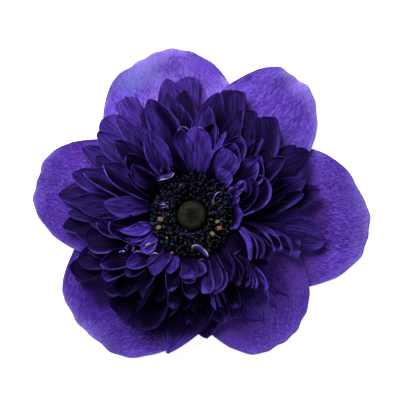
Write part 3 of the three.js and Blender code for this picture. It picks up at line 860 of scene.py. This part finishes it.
for name, rows in (
    ("petals_outer", OUTER_PETALS),
    ("petals_middle", MIDDLE_PETALS),
    ("petals_inner", INNER_PETALS),
):
    whorl = Builder()
    for row in rows:
        petal(whorl, *row)
    dress(whorl, name, petal_look, "inner_petals")


# Shapes turned on a lathe


def turned_points(profile, sectors):
    """A closed lathe as points and faces: profile rows of radius and height, on the axis at both ends."""
    profile = np.array(profile, float)
    angle = np.arange(sectors) * 2 * np.pi / sectors
    inner = profile[1:-1]
    x, y = inner[:, :1] * np.cos(angle), inner[:, :1] * np.sin(angle)
    ring = np.stack([x, y, np.repeat(inner[:, 1:], sectors, 1)], -1).reshape(-1, 3)
    points = np.concatenate([[[0, 0, profile[0, 1]]], ring, [[0, 0, profile[-1, 1]]]])
    k = np.arange(sectors)
    after = (k + 1) % sectors
    low = 1 + np.arange(len(inner) - 1)[:, None] * sectors
    high = low + sectors
    sides = np.stack([low + k, low + after, high + after, high + k], -1).reshape(-1, 4)
    last = 1 + (len(inner) - 1) * sectors
    top = len(points) - 1
    caps = np.concatenate(
        [np.stack([0 * k, 1 + after, 1 + k], 1), np.stack([0 * k + top, last + k, last + after], 1)]
    )
    return points, sides, caps


def polar(radius, angle, height=0.0):
    return np.array([radius * math.cos(angle), radius * math.sin(angle), height])


def rotation(direction, spin=0.0):
    """A matrix that turns +Z to a direction, after a spin about +Z."""
    z = np.array(direction, float)
    z /= np.linalg.norm(z)
    x = np.cross([0, 1, 0.01], z)
    x /= np.linalg.norm(x)
    y = np.cross(z, x)
    base = np.stack([x, y, z], 1)
    c, s = math.cos(spin), math.sin(spin)
    return base @ np.array([[c, -s, 0], [s, c, 0], [0, 0, 1]])


def add_turned(mesh, shape, matrix, at, seed, tone=0.5):
    points, sides, caps = shape
    mesh.lathed((points @ matrix.T + at, sides, caps), seed=seed, tone=tone)


# Stamens

LOBE = turned_points(
    [(0, -0.66), (0.16, -0.6), (0.27, -0.38), (0.31, 0), (0.27, 0.38), (0.16, 0.6), (0, 0.66)], 8
)
OPEN_LOBE = turned_points(
    [(0, -0.7), (0.16, -0.64), (0.28, -0.42), (0.34, 0), (0.28, 0.42), (0.16, 0.64), (0, 0.7)], 12
)
LOBE_OFFSET = 0.25
OPEN_LOBE_OFFSET = 0.21
# A filament one millimetre long
FILAMENT = turned_points([(0, 0), (0.09, 0), (0.07, 0.5), (0.06, 1), (0, 1)], 6)
FILAMENT_ROOT = 11.6
FILAMENT_END = 0.2  # below the middle of its anther
ROOT_IN = 0.86  # how far out a filament's root lies, as a share of its anther's

# Anthers that have opened: x, y, direction in degrees, size and tone (0 green-yellow, 1 orange)
OPEN_ANTHERS = [
    (-7.75, -1.0, -8, 1.25, 0.9),
    (-8.2, -3.0, 35, 1.15, 0.45),
    (6.3, -1.6, 10, 0.95, 0.1),
    (6.8, -3.2, 5, 1.15, 1.0),
    (5.1, -4.6, -40, 1.1, 0.25),
    (0.2, -7.9, 80, 0.8, 0.9),
    (-6.2, -5.6, -60, 0.6, 0.5),
    (-4.9, -9.3, 15, 0.65, 0.2),
]
OPEN_SIZE = 0.86
OPEN_RISE = 0.55  # how far they stand above the others
# The ring: radii, and how high the anthers stand at each
RING = [4.2, 5.6, 7.4, 9.0, 10.0]
RING_TOP = [13.6, 14.7, 15.3, 15.0, 14.2]
ANTHER_SPACING = 0.85
TRIES = 6000

anthers, filaments, open_anthers = Builder(), Builder(), Builder()


def stamen(target, spot, top, lean, spin, size, tone, lobe=LOBE, apart=LOBE_OFFSET):
    """A two-lobed anther that leans, on its filament."""
    base = np.array([*(spot * ROOT_IN), FILAMENT_ROOT])
    tip = np.array([*spot, top])
    seed = rng.uniform()
    matrix = rotation(lean, spin)
    for offset in (-apart, apart):
        add_turned(target, lobe, matrix * size, tip + matrix @ np.array([offset * size, 0, 0]), seed, tone)
    stretch = np.array([1, 1, np.linalg.norm(tip - base) - FILAMENT_END])
    add_turned(filaments, FILAMENT, rotation(tip - base) * stretch, base, seed)


spots = [np.array(row[:2]) for row in OPEN_ANTHERS]
for x, y, direction, size, tone in OPEN_ANTHERS:
    lean = polar(1, math.radians(direction), 0.15)
    top = np.interp(np.hypot(x, y), RING, RING_TOP) + OPEN_RISE
    spot = np.array([x, y])
    stamen(open_anthers, spot, top, lean, math.pi / 2, size * OPEN_SIZE, tone, OPEN_LOBE, OPEN_LOBE_OFFSET)
for _ in range(TRIES):
    radius = math.sqrt(rng.uniform(RING[0] ** 2, RING[-1] ** 2))
    spot = polar(radius, rng.uniform(0, 2 * np.pi))[:2]
    if np.hypot(*(np.array(spots) - spot).T).min() > ANTHER_SPACING:
        spots.append(spot)
for spot in spots[len(OPEN_ANTHERS):]:
    radius = np.hypot(*spot)
    outward = np.array([*spot, 0]) / radius
    around = np.array([-outward[1], outward[0], 0])
    top = np.interp(radius, RING, RING_TOP) + rng.uniform(-0.8, 0.5)
    lean = outward * rng.normal(0.8, 0.5) + around * rng.normal(0, 0.8)
    lean = lean + np.array([0, 0, rng.uniform(0.1, 0.9)])
    # Those on the lower right stand in the shade of the rest
    shaded = mix(1, 0.12, ease(0.5, 8, float(outward[:2] @ TURNED_UP[:2]) * radius))
    stamen(anthers, spot, top, lean, rng.uniform(0, np.pi), rng.uniform(0.85, 1.2), rng.uniform() * shaded)

dress(anthers, "anthers", anther_look, "stamens")
dress(filaments, "filaments", filament_look, "stamens")
dress(open_anthers, "open_anthers", pollen_look, "stamens")


# Petal-like stamens: x, y and radius of an arc, where it starts and stops in degrees, width, lean in
# degrees from upright, height and tone (0 dark, 0.5 violet, 1 white)
CURLED_STAMENS = [
    # A long pale one on the upper left of the ring, and thin loops above it
    (-9.9, 17.6, 9, -82, -52, 1.3, 45, 15.8, 0.85),
    (-9.8, 17.8, 8.7, -79, -55, 1, 45, 16, 0.45),
    (-10.6, 11.4, 4.9, -13, 15, 0.6, 50, 16.2, 0.24),
    (-2.4, 10.9, 5, 166, 190, 0.7, 60, 16, 0.26),
    (-8.2, 10.8, 2.5, -8, 24, 0.9, 40, 16.1, 0.5),
    # A tuft on the left of the ring
    (-5.6, 8.6, 6.2, -113, -92, 0.4, 30, 15.7, 0.95),
    (-6.4, 9.6, 6.5, -100, -84, 0.3, 30, 15.8, 0.7),
    (-6, 8.8, 6.9, -104, -88, 0.3, 30, 15.6, 0.8),
    # A ring on the upper right
    (7.3, 3.7, 1.9, 95, 205, 0.9, 25, 15.9, 0.8),
    # A pale fold at the tip of a petal at the top
    (-2, 19.4, 2, 138, 50, 0.8, 45, 19.1, 0.65),
    # A small dark ring on the upper right
    (8.9, 3.2, 1.3, 60, 330, 0.6, 5, 15.3, 0.05),
    # Lower edge and lower left
    (0.7, -11, 3.1, 104, 12, 1.7, 45, 15.8, 0.9),
    (-3.7, -17.4, 12, 115, 131, 1.4, 55, 17.9, 0.85),
    (-17.1, -10.2, 1.2, 125, 60, 0.9, 50, 17.6, 0.9),
    (-15.2, -8.2, 0.8, -60, 220, 0.9, 50, 17.4, 0.5),
    (-12.9, -14, 4.9, 109, 70, 0.8, 40, 17.2, 0.65),
    (-9.2, -14.5, 4.9, 106, 78, 0.8, 45, 17, 0.95),
    (2.4, -11.9, 0.9, 130, 60, 0.7, 40, 16.4, 0.6),
    # A pale knot on the right
    (10.6, 5.2, 1.3, 80, 185, 1.5, 50, 17.4, 0.55),
    (13.4, 5.4, 2.6, 88, 150, 1.3, 50, 17.8, 0.5),
    (12.6, 6.3, 0.8, -40, 120, 0.9, 40, 17.4, 0.45),
    (10.2, 8.6, 1.8, -75, 0, 1, 45, 17.6, 0.45),
    (12.7, -0.4, 0.5, 60, 200, 0.5, 30, 16.8, 0.55),
    # Thin dark ones round the dome
    (-3.6, -8.6, 4.3, 92, 50, 0.3, 20, 15.2, 0.2),
    (-2.9, -7.8, 3.2, 100, 40, 0.25, 20, 15.4, 0.18),
    (1.1, -6, 1.6, 140, 60, 0.3, 20, 15.1, 0.3),
    (-5, 3.4, 0.9, 60, 240, 0.3, 20, 15, 0.2),
]


def curled_stamen(mesh, x, y, radius, start, stop, width, lean, height, tone):
    along = np.linspace(0, 1, 22)
    across = np.linspace(-1, 1, 7)
    angle = np.radians(mix(start, stop, along))
    outwards = np.stack([np.cos(angle), np.sin(angle), 0 * along], 1)
    share = np.sqrt(np.clip(np.sin(np.pi * along), 0, 1)) * 0.9 + 0.1
    waver = min(0.05 * radius, 0.15) * np.sin(7 * along + x)
    line = np.array([x, y, height]) + outwards * (radius + waver)[:, None]
    line[:, 2] += 0.25 * np.sin(5 * along + y)
    tilt = math.radians(lean)
    rising = outwards * math.sin(tilt) + np.array([0, 0, math.cos(tilt)])
    offset = (across[None, :] * width / 2 * share[:, None])[..., None] * rising[:, None, :]
    middle = line[:, None, :] + offset
    half_thickness = np.full(middle.shape[:2], 0.07)
    seed = rng.uniform()
    # The upper margin is the palest, in stretches
    stretches = 0.75 + 0.25 * np.sin(9 * along + 40 * seed)
    pale = tone * mix(0.25, 1, ease(-0.2, 1, across))[None, :] * stretches[:, None]
    mesh.blade(middle, half_thickness, across, along, seed, np.tile(pale.ravel(), 2))


curled = Builder()
for row in CURLED_STAMENS:
    curled_stamen(curled, *row)
dress(curled, "curled_stamens", curled_look, "stamens")


# The roots of the petals close the gap between the tepals and the stamens

ROOTS = [(0, 7.0), (5, 7.0), (8.4, 7.4), (9.9, 8.2), (10.5, 9.4), (10.3, 10.6), (9.6, 11.2), (0, 11.2)]
ROOT_PETALS = 8  # round the piece, as its skin shows them
ROOT_LENGTH = 4

points, sides, caps = turned_points(ROOTS, 96)
around = np.arctan2(points[:, 1], points[:, 0])
points[:, :2] *= (1 + 0.04 * np.sin(13 * around) + 0.025 * np.sin(29 * around + 1))[:, None]
uv = np.stack([around / (2 * np.pi) * ROOT_PETALS, points[:, 2] / ROOT_LENGTH], 1)
roots = Builder()
roots.lathed((points, sides, caps), uv, tone=0.1, under=0.0, shade=0.6, lip=0.0)
dress(roots, "petal_roots", petal_look, "inner_petals")


# Bed of the stamens

BED = [(0, 11.15), (9.3, 11.15), (9.5, 11.4), (9.3, 12.0), (7, 12.3), (4.6, 12.1), (4.5, 11.3), (0, 11.25)]

bed = Builder()
bed.lathed(turned_points(BED, 48))
dress(bed, "stamen_bed", filament_look, "stamens")


# Pistil dome

DOME = [
    (0, 0), (3.2, 0), (3.7, 0.7), (DOME_RADIUS, 1.5), (3.8, 2.3), (3.4, 3.1), (2.8, 3.7), (2, 4.2),
    (1.1, 4.5), (0, 4.6),
]
# The body is smaller than the dome, for its tips to end there
BODY_WIDTH = 0.93
BODY_HEIGHT = 0.96
PISTIL = turned_points([(0, 0), (0.085, 0.05), (0.085, 0.3), (0.05, 0.5), (0, 0.52)], 5)
PISTILS = 1300
PISTIL_REACH = 3.85
PISTIL_SEAT = 0.95  # of the dome's height
PISTIL_SUNK = 0.2
# Radii, and how far the tips rise there for each millimetre outwards
RISE_RADII = [0, 1.1, 2.8, 3.6, PISTIL_REACH]
RISE = [9, 3.0, 1.0, 0.4, 0.15]
GOLDEN_ANGLE = math.pi * (3 - math.sqrt(5))

dome = Builder()
body = [(radius * BODY_WIDTH, DOME_BOTTOM + height * BODY_HEIGHT) for radius, height in DOME]
dome.lathed(turned_points(body, 40), tone=0.05)
outer_radii, outer_heights = np.array(DOME[2:]).T
for k in range(PISTILS):
    # Equal areas as seen from above
    radius = PISTIL_REACH * math.sqrt((k + 0.5) / PISTILS)
    height = np.interp(-radius, -outer_radii, outer_heights)
    angle = k * GOLDEN_ANGLE
    rise = np.interp(radius, RISE_RADII, RISE)
    direction = polar(1, angle, rise) + rng.normal(0, 0.25, 3)
    at = polar(radius * BODY_WIDTH, angle, DOME_BOTTOM + height * PISTIL_SEAT)
    at -= direction / np.linalg.norm(direction) * PISTIL_SUNK
    # The top of the dome is the darkest in its own colour, and the foot has painted shade
    tone = mix(0.12, 0.6, ease(0.6, 2.6, radius)) * mix(1, 0.06, ease(2.2, 3.75, radius))
    tone = tone * rng.uniform(0.1, 1.5)
    add_turned(dome, PISTIL, rotation(direction), at, rng.uniform(), tone)
dress(dome, "pistils", pistil_look, "pistil_dome")


# Receptacle and stem

STEM = [
    (0, STEM_CUT_HEIGHT), (2.0, STEM_CUT_HEIGHT), (STEM_RADIUS, 1.0), (STEM_RADIUS, 3.2), (2.45, 4.2),
    (3.2, 5.1), (4.2, 5.9), (RECEPTACLE_RADIUS, 6.4), (RECEPTACLE_RADIUS, 10.7), (4.1, RECEPTACLE_TOP),
    (0, RECEPTACLE_TOP),
]

stem = Builder()
stem.lathed(turned_points(STEM, 48))
dress(stem, "stem_and_receptacle", stem_look, "receptacle")


# Floor, in metres

FLOOR_REACH = 3
corners = [(x * FLOOR_REACH, y * FLOOR_REACH, 0) for x, y in ((-1, -1), (1, -1), (1, 1), (-1, 1))]
floor_mesh = bpy.data.meshes.new("floor")
floor_mesh.from_pydata(corners, [], [(0, 1, 2, 3)])
floor = linked(floor_mesh)
floor_nodes = Nodes("floor_white")
floor_nodes.set(Base_Color=(0.92, 0.92, 0.93, 1), Roughness=0.9)
floor_nodes.set(Emission_Color=(1, 1, 1, 1), Emission_Strength=0.88)
floor_mesh.materials.append(floor_nodes.material)


# Light, in metres and watts

KEY_PLACE = Vector((-0.29, 0.44, 0.65))

key_data = bpy.data.lights.new("key", "AREA")
key_data.shape = "DISK"
key_data.size = 0.5
key_data.energy = 12.8
key = linked(key_data)
key.location = KEY_PLACE
key.rotation_euler = (-KEY_PLACE).to_track_quat("-Z", "Y").to_euler()
world = bpy.data.worlds.new("studio")
world.use_nodes = True
background = next(n for n in world.node_tree.nodes if n.type == "BACKGROUND")
background.inputs["Color"].default_value = (1, 1, 1, 1)
background.inputs["Strength"].default_value = 0.15
bpy.context.scene.world = world
bpy.context.scene.view_settings.view_transform = "Standard"


# Camera, in metres. The photograph is 400 pixels of 0.25 mm across, and the flower's axis stands
# 8 pixels left of its middle and 15 below

PIXEL = 0.25 * MM
FIELD = 400 * PIXEL
AXIS_LEFT = 8 * PIXEL
AXIS_BELOW = 15 * PIXEL
DISTANCE = 0.60
FIELD_HEIGHT = 8 * MM  # above the surface, where the field is measured
SENSOR = 36  # in millimetres, as the lens

camera_data = bpy.data.cameras.new("camera")
camera_data.sensor_width = SENSOR
camera_data.lens = SENSOR * DISTANCE / FIELD
camera_data.clip_start = 0.05
camera = linked(camera_data)
camera.location = (AXIS[0] * MM + AXIS_LEFT, AXIS[1] * MM + AXIS_BELOW, DISTANCE + FIELD_HEIGHT)
bpy.context.scene.camera = camera
